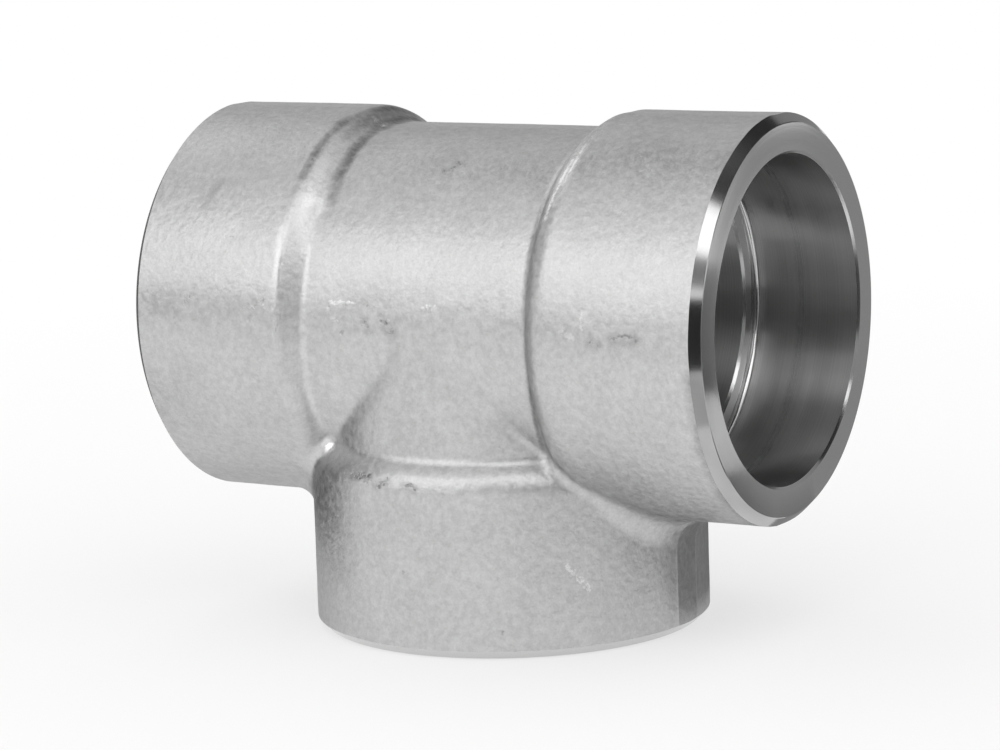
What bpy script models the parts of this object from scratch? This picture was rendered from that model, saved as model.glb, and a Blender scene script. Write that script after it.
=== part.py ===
"""Socket weld tee, DN 50, class 3000: one steel forging with three machined sockets.

The run lies along X and the branch points down, so the tee stands on its branch face at Z = 0.
Run and branch have the same profile, in the forging and in the bores alike. Two arms therefore
meet exactly in the mitre plane that halves the angle between them. One patch of skin is lofted
up to that plane, and its mirror images close the tee.
"""
import math
from collections import namedtuple

import bmesh
import bpy
from mathutils import Matrix, Vector

# Driving dimensions of the sockets and bores, in metres
SOCKET_RADIUS = 0.03075         # takes a pipe of 60.3 mm
SOCKET_DEPTH = 0.0220
SOCKET_WALL = 0.00735           # from the socket out to the collar
SOCKET_FLOOR_WIDTH = 0.0045     # ring that stops the pipe, in to the through bore
SOCKET_MOUTH_CHAMFER = 0.00045
SOCKET_CORNER_RADIUS = 0.0012   # left on the socket's floor by the nose of the tool
BORE_LIP_CHAMFER = 0.0005       # edge of the bore in the socket's floor

# Driving dimensions of the forging, in metres and degrees
CENTRE_TO_FLOOR = 0.0385        # from the crossing of the axes to each socket's floor
COLLAR_LENGTH = 0.0342          # from an end face to the middle of the collar's shoulder
COLLAR_STEP = 0.00325           # how far the collar stands above the barrel
SHOULDER_SLOPE = 47.0           # steepest part of the shoulder, from the axis
SHOULDER_ROOT_RADIUS = 0.0025   # hollow round where the shoulder leaves the barrel
SHOULDER_RIM_RADIUS = 0.0060    # round over the collar's edge
CREASE_RADIUS = 0.0220          # seam of run and branch where it starts, at the barrel's side
CREASE_TAPER = 2.2              # how early that radius shrinks on the way to the shoulder
CROTCH_RADIUS = 0.0062          # the same seam where it ends, between two collars
CROTCH_TAPER = 3.0              # how early that radius is reached past the shoulder
END_CHAMFER = 0.0017            # turned at 45 degrees with the end face

# Sizes that follow from these
CENTRE_TO_END = CENTRE_TO_FLOOR + SOCKET_DEPTH
COLLAR_RADIUS = SOCKET_RADIUS + SOCKET_WALL
BARREL_RADIUS = COLLAR_RADIUS - COLLAR_STEP
BORE_RADIUS = SOCKET_RADIUS - SOCKET_FLOOR_WIDTH
SHOULDER_AT = CENTRE_TO_END - COLLAR_LENGTH

# How finely the skins are divided
CROWN_STEPS = 12                # top of the run to its side, a quarter turn
BARREL_STEPS = 6                # along the seam on the barrel
SHOULDER_STEPS = 3              # along each round of the shoulder
COLLAR_STEPS = 7                # along the seam on the collar
BORE_STEPS = 12                 # along the seam of the bores
SOCKET_CORNER_STEPS = 3
HALF_FILLET_STEPS = 2           # across the fillet, from the skin to the mitre plane
WELD_DISTANCE = 1e-6
SHARP_ANGLE = 35.0

# One circle of an arm: how far it lies from the crossing, its radius, the slope of the skin
# there, and the radius of the ball that rolls along the seam and touches the circle
Station = namedtuple("Station", "along radius slope ball", defaults=(0.0, 0.0))

QUARTER_TURN = math.pi / 2
MITRE_MIRROR = Matrix(((0, 0, -1), (0, 1, 0), (-1, 0, 0)))


def steps(first, last, count):
    """Values from first to last in equal steps, both included."""
    return [first + (last - first) * k / count for k in range(count + 1)]


def tapered(first, last, taper, count):
    """Radii from first to last, which change fast at first and slowly at the end."""
    return [last + (first - last) * (1 - part) ** taper for part in steps(0, 1, count)]


def contact_angle(station):
    """Angle below the horizontal at which the ball in the crotch touches this station's circle."""
    reach = station.radius + station.ball * math.cos(station.slope)
    return math.asin(min(1.0, (station.along - station.ball * math.sin(station.slope)) / reach))


def seam_stations(radius, angles, balls):
    """Stations on a plain cylinder, each where a ball of that size touches it at that angle."""
    return [Station((radius + ball) * math.sin(angle), radius, ball=ball)
            for angle, ball in zip(angles, balls)]


def shoulder_stations(ball):
    """The S-shaped step from barrel to collar: a hollow round, a straight flank and a rim round."""
    rounds = SHOULDER_ROOT_RADIUS + SHOULDER_RIM_RADIUS
    slope = math.radians(SHOULDER_SLOPE)
    if rounds * (1 - math.cos(slope)) > COLLAR_STEP:
        slope = math.acos(1 - COLLAR_STEP / rounds)
    flank = (COLLAR_STEP - rounds * (1 - math.cos(slope))) / math.tan(slope)
    half_length = (rounds * math.sin(slope) + flank) / 2
    root_start = SHOULDER_AT - half_length
    rim_end = SHOULDER_AT + half_length
    root = [Station(root_start + SHOULDER_ROOT_RADIUS * math.sin(angle),
                    BARREL_RADIUS + SHOULDER_ROOT_RADIUS * (1 - math.cos(angle)), angle, ball)
            for angle in steps(0, slope, SHOULDER_STEPS)]
    rim = [Station(rim_end - SHOULDER_RIM_RADIUS * math.sin(angle),
                   COLLAR_RADIUS - SHOULDER_RIM_RADIUS * (1 - math.cos(angle)), angle, ball)
           for angle in steps(slope, 0, SHOULDER_STEPS)]
    return root + rim


def forging_stations():
    """The outside of one arm, from the crossing of the axes to the end face.

    The seam's fillet starts wide on the barrel, narrows to fit the shoulder's hollow, and
    widens again to the crotch between the collars.
    """
    shoulder_ball = min(CROTCH_RADIUS, 0.9 * SHOULDER_ROOT_RADIUS)
    shoulder = shoulder_stations(shoulder_ball)
    barrel = seam_stations(BARREL_RADIUS, steps(0, contact_angle(shoulder[0]), BARREL_STEPS),
                           tapered(CREASE_RADIUS, shoulder_ball, CREASE_TAPER, BARREL_STEPS))
    collar = seam_stations(COLLAR_RADIUS,
                           steps(contact_angle(shoulder[-1]), QUARTER_TURN, COLLAR_STEPS),
                           tapered(shoulder_ball, CROTCH_RADIUS, CROTCH_TAPER, COLLAR_STEPS))
    end = [Station(CENTRE_TO_END - END_CHAMFER, COLLAR_RADIUS),
           Station(CENTRE_TO_END, COLLAR_RADIUS - END_CHAMFER)]
    return barrel[:-1] + shoulder + collar[1:] + end


def bore_stations():
    """The inside of one arm: through bore, lip, socket floor, corner, socket and mouth."""
    bore = seam_stations(BORE_RADIUS, steps(0, QUARTER_TURN, BORE_STEPS), [0.0] * (BORE_STEPS + 1))
    lip = [Station(CENTRE_TO_FLOOR - BORE_LIP_CHAMFER, BORE_RADIUS),
           Station(CENTRE_TO_FLOOR, BORE_RADIUS + BORE_LIP_CHAMFER)]
    corner = [Station(CENTRE_TO_FLOOR + SOCKET_CORNER_RADIUS * (1 - math.cos(angle)),
                      SOCKET_RADIUS - SOCKET_CORNER_RADIUS * (1 - math.sin(angle)))
              for angle in steps(0, QUARTER_TURN, SOCKET_CORNER_STEPS)]
    mouth = [Station(CENTRE_TO_END - SOCKET_MOUTH_CHAMFER, SOCKET_RADIUS),
             Station(CENTRE_TO_END, SOCKET_RADIUS + SOCKET_MOUTH_CHAMFER)]
    return bore + lip + corner + mouth


def skin_point(station, angle):
    """Point on the right arm's front side, at an angle below the horizontal."""
    return Vector((station.along, -station.radius * math.cos(angle),
                   -station.radius * math.sin(angle)))


def skin_normal(station, angle):
    """Direction out of the forging at the same point."""
    outward = math.cos(station.slope)
    return Vector((-math.sin(station.slope), -outward * math.cos(angle),
                   -outward * math.sin(angle)))


def fillet_row(station, angle):
    """Half of the fillet's arc at one contact point, from the skin to the mitre plane."""
    normal = skin_normal(station, angle)
    centre = skin_point(station, angle) + station.ball * normal
    to_mitre = (normal + MITRE_MIRROR @ normal).normalized()
    return [centre - station.ball * normal.slerp(to_mitre, part)
            for part in steps(0, 1, HALF_FILLET_STEPS)]


def add_strip(mesh, rows):
    """Skin between rows of points. A row with one point more than the last ends in a triangle."""
    made = [[mesh.verts.new(point) for point in row] for row in rows]
    for row, following in zip(made, made[1:]):
        for k in range(len(row) - 1):
            mesh.faces.new((row[k], following[k], following[k + 1], row[k + 1]))
        if len(following) > len(row):
            mesh.faces.new((row[-1], following[-2], following[-1]))


def add_images(mesh, rows, images):
    """The same strip of skin in each of its mirror images."""
    for image in images:
        add_strip(mesh, [[image @ point for point in row] for row in rows])


def add_tee_skin(mesh, stations):
    """The skin of run and branch for one profile, open at the three ends.

    The crown is the upper half of the run. The flank hangs below it and ends at the seam: each
    station reaches down to its own contact angle, until the arm is clear of the other one.
    """
    seam = []
    for station in stations:
        seam.append(contact_angle(station))
        if seam[-1] > QUARTER_TURN - WELD_DISTANCE:
            break
    crown = [[skin_point(station, angle) for angle in steps(-QUARTER_TURN, 0, CROWN_STEPS)]
             for station in stations]
    flank = [[skin_point(station, angle) for angle in seam[:k + 1]]
             for k, station in enumerate(stations)]
    fillet = [fillet_row(station, angle) for station, angle in zip(stations, seam)]
    quarters = [Matrix.Diagonal((x, y, 1)) for x in (1, -1) for y in (1, -1)]
    run_and_branch = quarters + [quarter @ MITRE_MIRROR for quarter in quarters]
    add_images(mesh, crown, quarters)
    add_images(mesh, flank, run_and_branch)
    if stations[0].ball > 0:
        add_images(mesh, fillet, run_and_branch)
    bmesh.ops.remove_doubles(mesh, verts=mesh.verts[:], dist=WELD_DISTANCE)


def open_edges(mesh):
    return [edge for edge in mesh.edges if edge.is_boundary]


def close_ends(mesh):
    """Join the outer and inner loops of each end with its flat, ring-shaped face."""
    for end in (Vector((1, 0, 0)), Vector((-1, 0, 0)), Vector((0, 0, -1))):
        loops = [edge for edge in open_edges(mesh)
                 if all(abs(vert.co.dot(end) - CENTRE_TO_END) < WELD_DISTANCE for vert in edge.verts)]
        bmesh.ops.bridge_loops(mesh, edges=loops)


def is_machined(face):
    """True on the bores, sockets, end faces and end chamfers."""
    middle = face.calc_center_median()
    along_end = max(abs(middle.x), -middle.z)
    side = abs(middle.z) if abs(middle.x) >= -middle.z else abs(middle.x)
    return (along_end > CENTRE_TO_END - END_CHAMFER
            or math.hypot(side, middle.y) < (SOCKET_RADIUS + BARREL_RADIUS) / 2)


def steel(name, colour, roughness):
    material = bpy.data.materials.new(name)
    material.use_nodes = True
    shader = material.node_tree.nodes["Principled BSDF"]
    shader.inputs["Base Color"].default_value = (*colour, 1)
    shader.inputs["Metallic"].default_value = 1.0
    shader.inputs["Roughness"].default_value = roughness
    return material


def make_tee():
    """The forging and its bores as one closed solid, standing on the branch face."""
    mesh = bmesh.new()
    add_tee_skin(mesh, forging_stations())
    add_tee_skin(mesh, bore_stations())
    close_ends(mesh)
    bmesh.ops.recalc_face_normals(mesh, faces=mesh.faces[:])
    for face in mesh.faces:
        face.material_index = int(is_machined(face))
    data = bpy.data.meshes.new("tee_body")
    mesh.to_mesh(data)
    mesh.free()
    data.materials.append(steel("forged_steel", (0.50, 0.50, 0.50), 0.45))
    data.materials.append(steel("machined_steel", (0.42, 0.42, 0.43), 0.25))
    data.shade_smooth()
    data.set_sharp_from_angle(angle=math.radians(SHARP_ANGLE))
    body = bpy.data.objects.new("tee_body", data)
    body.location.z = CENTRE_TO_END
    bpy.context.scene.collection.objects.link(body)
    return body


def main():
    for old in list(bpy.data.objects):
        bpy.data.objects.remove(old, do_unlink=True)
    make_tee()
    bpy.context.view_layer.update()


main()
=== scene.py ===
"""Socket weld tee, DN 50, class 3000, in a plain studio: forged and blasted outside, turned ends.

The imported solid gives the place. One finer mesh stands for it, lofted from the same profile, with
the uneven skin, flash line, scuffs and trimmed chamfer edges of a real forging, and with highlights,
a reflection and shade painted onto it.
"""

import math
from collections import namedtuple

import bmesh
import bpy
from mathutils import Matrix, Vector, noise
from mathutils.kdtree import KDTree

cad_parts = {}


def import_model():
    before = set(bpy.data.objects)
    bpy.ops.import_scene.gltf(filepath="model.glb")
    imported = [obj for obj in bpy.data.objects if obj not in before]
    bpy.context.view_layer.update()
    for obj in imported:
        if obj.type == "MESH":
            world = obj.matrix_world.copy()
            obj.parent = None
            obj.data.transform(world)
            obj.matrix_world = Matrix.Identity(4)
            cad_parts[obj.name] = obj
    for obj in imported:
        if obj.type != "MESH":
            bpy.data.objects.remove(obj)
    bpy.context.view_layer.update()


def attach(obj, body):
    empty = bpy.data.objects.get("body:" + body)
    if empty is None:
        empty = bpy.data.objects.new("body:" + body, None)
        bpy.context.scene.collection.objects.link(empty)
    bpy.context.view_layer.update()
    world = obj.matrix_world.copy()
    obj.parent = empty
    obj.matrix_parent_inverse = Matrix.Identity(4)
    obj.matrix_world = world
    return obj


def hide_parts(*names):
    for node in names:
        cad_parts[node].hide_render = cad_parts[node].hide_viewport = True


MM = 0.001
QUARTER_TURN = math.pi / 2

# Sizes of the tee, in metres and degrees, as in the solid
CENTRE_TO_END = 60.5 * MM
COLLAR_RADIUS = 38.1 * MM
BARREL_RADIUS = 34.85 * MM
SHOULDER_AT = 26.3 * MM
SHOULDER_SLOPE = 47.0
SHOULDER_ROOT_RADIUS = 2.5 * MM
SHOULDER_RIM_RADIUS = 6.0 * MM
CREASE_RADIUS = 22.0 * MM
CREASE_TAPER = 2.2
CROTCH_TAPER = 3.0
CROTCH_RADIUS = 6.2 * MM
END_CHAMFER = 1.7 * MM
SOCKET_RADIUS = 30.75 * MM
SOCKET_FLOOR_AT = 38.5 * MM
SOCKET_CORNER_RADIUS = 1.2 * MM
SOCKET_MOUTH_CHAMFER = 0.45 * MM
BORE_RADIUS = 26.25 * MM
BORE_LIP_CHAMFER = 0.5 * MM
EDGE_BREAK = 0.08 * MM
SHOULDER_BALL_SHARE = 0.9       # of the root's radius, so that the seam's ball fits in it

# How finely the skins are divided
CROWN_STEPS = 60
BARREL_STEPS, BARREL_EASE = 28, 1.7
SHOULDER_STEPS = 14
COLLAR_STEPS = 28
COLLAR_RINGS = 15
HALF_FILLET_STEPS = 5
BORE_CROWN_STEPS = 32
BORE_STEPS = 24
CORNER_STEPS = 8
WELD_DISTANCE = 1e-6
SHARP_ANGLE = 18.0

# The forging's own unevenness
SWELL_HEIGHT, SWELL_LENGTH = 0.10 * MM, 17.0 * MM
RIPPLE_HEIGHT, RIPPLE_LENGTH = 0.035 * MM, 5.0 * MM
SWELL_SEED = Vector((3.7, 1.2, 8.4))
RIPPLE_SEED = Vector((9.1, 4.6, 2.3))

# The left shoulder of the real forging, above the crossing: a straighter flank than the right
# one's, whose root moves outwards below the angles above the front between which it changes
LEFT_RIM_AT, LEFT_ROOT_HIGH, LEFT_ROOT_LOW = 27.6 * MM, 22.2 * MM, 23.7 * MM
LEFT_ROUNDING, LEFT_REACH = 0.9 * MM, 7.0 * MM
LEFT_CHANGES_FROM, LEFT_CHANGES_TO = 33, 41
LEFT_STARTS_AT, LEFT_FULL_AT = -14.0 * MM, -3.0 * MM

# Laps and ridges that the dies left on the run's shoulders (hollows, where the height is below
# 0). They run round it, in millimetres along X, and from one angle above the front to another
Fold = namedtuple("Fold", "along width height first last")
FOLDS = (
    Fold(-27.9, 0.45, -0.07, 42, 100),
    Fold(-27.4, 0.5, 0.10, 6, 29),
    Fold(28.3, 0.55, -0.16, 34, 80),
)
FOLD_FADE = 8

# The band left in the parting plane, Y = 0, where the flash was trimmed: flatter than the skin
# beside it, with a fine raised line along each edge
BAND_HALF_WIDTH = 3.9 * MM
BAND_SINK = 0.16 * MM
BAND_LINE_HEIGHT, BAND_LINE_WIDTH = 0.07 * MM, 0.22 * MM
BAND_TONE = 0.10
BAND_OFFSETS = (0.30, 0.0, -0.30, -1.3, -2.6, -3.9)

# Marks on the forging, each from one point to another in millimetres about the crossing of the
# axes, with its reach and strength: pits in the skin; lines rubbed bright, partly painted
# highlights and glints; pale, smoother stripes that are painted highlights and a painted
# reflection; and dark marks that are partly stains and partly painted shade. The last of
# these are painted shade on the lower side of the right end's chamfer
Mark = namedtuple("Mark", "start end reach strength")
PIT_MARKS = (
    Mark((-13.8, -35.2, -27.7), (-11.6, -35.8, -27.3), 0.9, 1.1),
    Mark((-11.6, -35.8, -27.3), (-9.8, -36.6, -27.9), 0.9, 1.3),
    Mark((-9.8, -36.6, -27.9), (-9.1, -36.3, -26.8), 0.8, 1.2),
    Mark((-6.9, -37.4, -28.7), (-5.3, -37.5, -28.0), 0.9, 1.3),
    Mark((-5.3, -37.5, -28.0), (-4.9, -37.4, -27.4), 0.7, 1.1),
    Mark((-0.8, -37.9, -28.0), (0.5, -37.8, -28.0), 0.6, 1.1),
    Mark((0.5, -37.8, -28.0), (1.6, -37.9, -28.7), 0.6, 1.1),
    Mark((-8.0, -36.9, -28.3), (3.0, -37.9, -28.6), 1.0, 0.4),
    Mark((6.6, -37.3, -28.1), (7.6, -37.2, -28.5), 0.6, 0.6),
    Mark((-6.3, -34.8, 1.9), (-5.0, -34.8, 1.3), 0.8, 1.1),
    Mark((-5.0, -34.8, 1.3), (-4.2, -34.9, -0.3), 1.2, 0.8),
    Mark((-15.3, -34.9, -0.7), (-14.7, -34.9, -0.4), 0.55, 1.2),
    Mark((-10.4, -34.4, 5.4), (-9.2, -34.5, 4.5), 0.6, 0.7),
    Mark((-10.7, -34.8, 2.2), (-9.8, -34.8, 1.1), 0.5, 0.9),
    Mark((-9.8, -34.8, 1.1), (-8.6, -34.9, 0.0), 0.6, 0.8),
    Mark((-18.1, -34.6, 4.2), (-17.8, -34.7, 4.0), 0.5, 0.9),
    Mark((-14.2, -34.6, 4.3), (-13.3, -34.6, 4.3), 0.4, 0.9),
    Mark((0.2, -20.6, 28.1), (2.6, -18.2, 29.7), 0.8, 0.9),
    Mark((43.7, -38.1, 1.4), (45.1, -38.0, 2.2), 0.7, 0.9),
    Mark((45.1, -38.0, 2.2), (47.1, -38.0, 2.1), 0.7, 1.1),
    Mark((47.1, -38.0, 2.1), (48.3, -38.0, 1.4), 0.7, 1.0),
    Mark((48.3, -38.0, 1.4), (50.3, -38.0, 1.7), 0.6, 0.6),
    Mark((39.3, -38.1, 0.8), (40.7, -38.1, 0.0), 0.9, 0.7),
    Mark((36.1, -37.9, 4.0), (36.3, -38.0, 3.5), 0.9, 0.6),
    Mark((38.7, -19.1, 33.0), (39.5, -18.5, 33.4), 0.8, 0.6),
    Mark((-27.3, -37.8, -0.3), (-27.0, -37.3, 4.8), 1.0, 0.65),
    Mark((-27.5, -37.9, -0.6), (-27.1, -37.9, -0.2), 0.6, 1.1),
    Mark((-33.6, -38.0, 3.4), (-30.4, -37.8, 4.9), 1.1, 0.55),
    Mark((-53.4, -38.1, 1.2), (-49.8, -38.1, 0.2), 1.3, 0.5),
    Mark((-47.8, -38.0, 3.6), (-46.4, -37.8, 5.4), 0.9, 0.5),
    Mark((-36.4, -36.9, 9.3), (-35.6, -36.9, 9.2), 0.6, 0.7),
    Mark((-40.2, -34.3, 16.4), (-38.2, -34.3, 16.8), 0.6, 0.6),
    Mark((-27.5, -22.9, 29.9), (-27.9, -26.0, 26.6), 0.8, 0.8),
    Mark((-1.8, -38.0, -45.0), (-1.1, -38.1, -44.4), 0.6, 0.9),
    Mark((6.0, -37.7, -49.2), (6.3, -37.6, -49.4), 0.6, 0.7),
    Mark((16.6, -34.3, -55.0), (16.9, -34.2, -55.2), 0.8, 1.0),
    Mark((31.0, -22.1, -33.8), (29.5, -24.1, -36.9), 3.0, 0.3),
)
RUB_AND_HIGHLIGHT_MARKS = (
    # Painted highlights along the right shoulder's rim
    Mark((28.2, -8.9, 36.8), (28.5, -16.1, 34.2), 0.5, 0.8),
    Mark((28.5, -16.1, 34.2), (28.1, -21.3, 31.1), 0.6, 1.0),
    Mark((28.1, -21.3, 31.1), (27.5, -26.1, 27.1), 1.0, 1.2),
    Mark((27.5, -26.1, 27.1), (26.8, -30.6, 21.3), 0.7, 1.1),
    Mark((26.2, -25.6, 26.4), (25.6, -29.4, 21.2), 0.5, 0.9),
    # Partly real scuffs, partly painted glints on the shoulders, barrel and collars
    Mark((-23.9, -5.0, 35.6), (-22.8, -5.4, 34.8), 0.9, 1.4),
    Mark((-17.5, -34.5, 4.9), (-15.1, -34.5, 4.8), 0.6, 1.1),
    Mark((-15.1, -34.5, 4.9), (-12.4, -34.5, 4.9), 0.5, 1.1),
    Mark((-17.4, -34.8, 1.9), (-15.0, -34.8, 1.5), 0.5, 0.8),
    Mark((-4.9, -34.8, 2.2), (-4.6, -34.8, 2.1), 0.4, 0.9),
    Mark((33.2, -38.1, 2.3), (35.7, -38.1, 1.4), 0.7, 1.3),
    Mark((37.3, -37.6, 6.4), (37.5, -38.0, 2.9), 0.5, 0.9),
    Mark((40.0, -19.6, 32.7), (42.7, -21.5, 31.5), 0.4, 0.8),
    Mark((42.7, -21.5, 31.5), (44.1, -23.4, 30.1), 0.45, 0.9),
    Mark((44.1, -23.4, 30.1), (42.6, -23.6, 29.9), 0.4, 0.8),
    Mark((-31.5, -37.7, 4.9), (-29.5, -37.7, 3.6), 0.5, 0.6),
    Mark((3.0, -34.5, 4.7), (4.4, -34.5, 4.6), 0.8, 0.8),
    Mark((27.1, -26.7, -43.7), (29.8, -23.5, -48.3), 0.9, 0.7),
)
PAINTED_LIGHT_MARKS = (
    # Painted highlights along the left shoulder's rim and root, and painted glints at its foot and at
    # its top
    Mark((-28.2, -33.4, 18.2), (-27.9, -34.8, 15.2), 1.3, 0.7),
    Mark((-27.9, -34.8, 15.2), (-27.6, -37.1, 8.0), 1.2, 0.7),
    Mark((-27.6, -37.1, 8.0), (-27.6, -37.6, 4.0), 1.0, 0.4),
    Mark((-25.8, -30.9, 19.5), (-23.9, -32.0, 14.5), 1.4, 0.3),
    Mark((-23.9, -32.0, 14.5), (-23.4, -34.6, 5.0), 1.2, 0.6),
    Mark((-23.4, -34.6, 5.0), (-23.8, -34.5, -6.4), 1.0, 0.5),
    Mark((-23.8, -34.5, -6.4), (-24.3, -32.6, -13.4), 0.9, 0.5),
    Mark((-24.3, -32.6, -13.4), (-24.6, -28.8, -20.8), 0.9, 0.6),
    Mark((-24.2, -27.3, -23.7), (-23.4, -27.3, -24.3), 1.3, 2.0),
    Mark((-25.6, -21.7, 29.8), (-25.3, -28.5, 23.0), 1.5, 0.55),
    Mark((-25.3, -28.5, 23.0), (-25.8, -30.9, 19.5), 1.7, 0.45),
    Mark((-22.3, -5.2, 34.9), (-24.9, -4.8, 36.1), 0.7, 1.3),
    # Painted reflection of the floor below the left collar, by the branch
    Mark((-27.5, -26.3, -29.2), (-25.5, -28.3, -32.5), 6.0, 0.8),
)
STAIN_AND_SHADE_MARKS = (
    # Painted shade: dark lines along the left shoulder's rim and root
    Mark((-26.0, 25.0, 27.5), (-26.0, 18.0, 32.5), 2.4, 0.3),
    Mark((-26.0, 18.0, 32.5), (-26.0, 11.0, 35.4), 2.4, 0.7),
    Mark((-26.0, 11.0, 35.4), (-26.2, 4.0, 37.0), 2.4, 1.1),
    Mark((-26.4, 5.0, 37.0), (-27.7, -12.3, 35.1), 1.7, 1.25),
    Mark((-27.7, -12.3, 35.1), (-27.7, -22.0, 30.3), 1.3, 1.15),
    Mark((-27.7, -22.0, 30.3), (-27.7, -26.2, 27.0), 1.2, 0.8),
    Mark((-27.7, -26.2, 27.0), (-28.2, -29.0, 24.0), 1.0, 0.4),
    Mark((-23.4, 8.8, 34.8), (-22.6, -6.5, 34.6), 2.6, 1.1),
    Mark((-25.3, 4.0, 36.2), (-25.2, -9.0, 35.2), 2.2, 0.8),
    Mark((-25.2, -9.0, 35.2), (-24.9, -14.0, 33.0), 2.2, 0.45),
    Mark((-22.3, -6.5, 34.6), (-22.6, -13.7, 32.6), 1.3, 0.95),
    Mark((-22.5, -13.7, 32.6), (-22.1, -22.9, 26.8), 1.6, 1.0),
    Mark((-22.1, -22.9, 26.8), (-21.5, -26.7, 22.8), 1.7, 0.7),
    # Stains on the left collar and about the pits
    Mark((-54.0, -37.8, 4.5), (-45.0, -37.9, 4.0), 4.5, 0.22),
    Mark((-45.0, -37.9, 4.0), (-32.0, -37.9, 4.0), 3.0, 0.12),
    Mark((-45.5, -28.5, 25.4), (-46.6, -31.2, 21.9), 1.4, 0.35),
    Mark((-5.6, -34.8, 1.4), (-4.2, -34.9, -0.3), 1.8, 0.35),
    Mark((-10.4, -34.8, 2.2), (-8.6, -34.9, 0.0), 1.1, 0.3),
    Mark((-10.4, -34.4, 5.4), (-9.2, -34.5, 4.5), 0.9, 0.3),
    Mark((43.7, -38.1, 1.4), (48.3, -38.0, 1.4), 1.4, 0.4),
    Mark((39.3, -38.1, 0.8), (40.7, -38.1, 0.0), 1.5, 0.3),
    Mark((-14.5, -35.0, -27.6), (-9.1, -36.4, -27.4), 1.2, 0.45),
    Mark((-6.9, -37.4, -28.7), (-4.9, -37.4, -27.6), 1.2, 0.45),
    Mark((-0.8, -37.9, -28.0), (1.6, -37.9, -28.7), 1.1, 0.45),
    Mark((0.2, -20.6, 28.1), (2.6, -18.2, 29.7), 1.1, 0.35),
    # Painted shade along the crease legs, on the right shoulder's lower part and in the right crotch,
    # dimming their highlights
    Mark((-18.5, -29.6, -21.5), (-11.2, -33.0, -14.1), 2.2, 0.45),
    Mark((-11.2, -33.0, -14.1), (-6.7, -34.2, -9.3), 2.0, 0.35),
    Mark((-6.7, -34.2, -9.3), (-3.5, -34.7, -3.4), 1.6, 0.2),
    Mark((15.5, -31.9, -15.3), (21.0, -27.9, -23.0), 1.5, 0.28),
    Mark((23.9, -27.4, -24.5), (30.8, -22.5, -32.8), 1.0, 0.45),
    Mark((24.4, -34.1, -9.4), (23.8, -31.4, -15.4), 0.7, 0.7),
    Mark((23.8, -31.4, -15.4), (22.9, -27.5, -22.5), 0.7, 1.0),
    # Painted shade on the lower side of the right end's chamfer, where it reflects the floor
    Mark((59.6, -37.2, -5.5), (59.6, -33.0, -18.0), 2.4, 0.9),
    Mark((59.6, -33.0, -18.0), (59.6, -24.0, -28.8), 2.4, 0.9),
    Mark((59.6, -24.0, -28.8), (59.6, -9.0, -36.4), 2.4, 0.9),
    Mark((59.6, -9.0, -36.4), (59.6, 8.0, -36.6), 2.4, 0.8),
)

# How far past a mark, in millimetres, the mesh is refined, and how many cuts an edge gets there
MARK_MARGIN, MARK_CUTS = 0.7, 2

# Values between which most of a noise lies, and how the dark marks, stains and painted shade,
# break up into patches: the noise's low and high, and the share of a mark that shows there
NOISE_WIDE = (0.25, 0.75)
NOISE_NARROW = (0.3, 0.7)
STAIN_AND_SHADE_PATCHES = (0.3, 0.6, 0.6, 1.0)

# Forged skin: sizes in metres, tones and roughness from 0 to 1
GRAIN_SIZE, GRAIN_DEPTH, GRAIN_TONE = 0.45 * MM, 0.03 * MM, 0.055
DIMPLE_SIZE, DIMPLE_DEPTH, DIMPLE_TONE = 1.3 * MM, 0.09 * MM, 0.045
BLOTCH_SIZE = 9.0 * MM
PIT_SIZE, PIT_DEPTH, PIT_TONE = 0.75 * MM, 0.10 * MM, 0.22
PIT_RARE, PIT_DENSE, PIT_EDGE = 0.74, 0.40, 0.26
PIT_SINK, PIT_FILL = 0.10 * MM, 0.5
# Specks and tone of the rub marks: rubbed metal, and painted highlights on the right shoulder's rim
SCRAPE_AND_HIGHLIGHT_SIZE, SCRAPE_AND_HIGHLIGHT_TONE, SCRAPE_AND_HIGHLIGHT_SMOOTH = 0.8 * MM, 0.16, 0.12
SCRAPE_AND_HIGHLIGHT_RARE, SCRAPE_AND_HIGHLIGHT_DENSE, SCRAPE_AND_HIGHLIGHT_EDGE, SCRAPE_AND_HIGHLIGHT_FADE = 0.64, 0.34, 0.12, 0.25
# Patches and tone of the dark marks: stains, and painted shade on the left shoulder, the creases and the
# right crotch
STAIN_AND_SHADE_SIZE, STAIN_AND_SHADE_TONE = 1.6 * MM, 0.30
# Painted highlights and a painted reflection: how much paler and smoother they make the skin
PAINTED_LIGHT_TONE, PAINTED_LIGHT_SMOOTH = 0.12, 0.08
SKIN_DARK, SKIN_PALE = 0.57, 0.63
SKIN_ROUGH_LOW, SKIN_ROUGH_HIGH = 0.38, 0.46
SKIN_EDGE_TINT = 0.6

# Turned steel
GROOVE_SIZE, GROOVE_DEPTH = 0.22 * MM, 0.0012 * MM
TURNED_BAND_SIZE = 3.0 * MM
Finish = namedtuple("Finish", "dark pale smooth rough stretch")
FACED = Finish(0.64, 0.70, 0.12, 0.19, 0.6)
# The bores' darker tones are painted shade inside them
BORED_SHADED = Finish(0.44, 0.52, 0.27, 0.31, 1.0)
# Share of its tone that turned steel keeps under a full dark mark: painted shade on the right end's
# chamfer
CHAMFER_SHADE_SHARE = 0.6
ACROSS_GROOVES = 0.25

# Material slots. The branch's finish comes right after the run's
FORGED_SLOT, FACED_SLOT, BORED_SLOT = 0, 1, 3
SKIN_MARGIN = 0.3 * MM
SQUARE_ACROSS = 0.2

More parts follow.
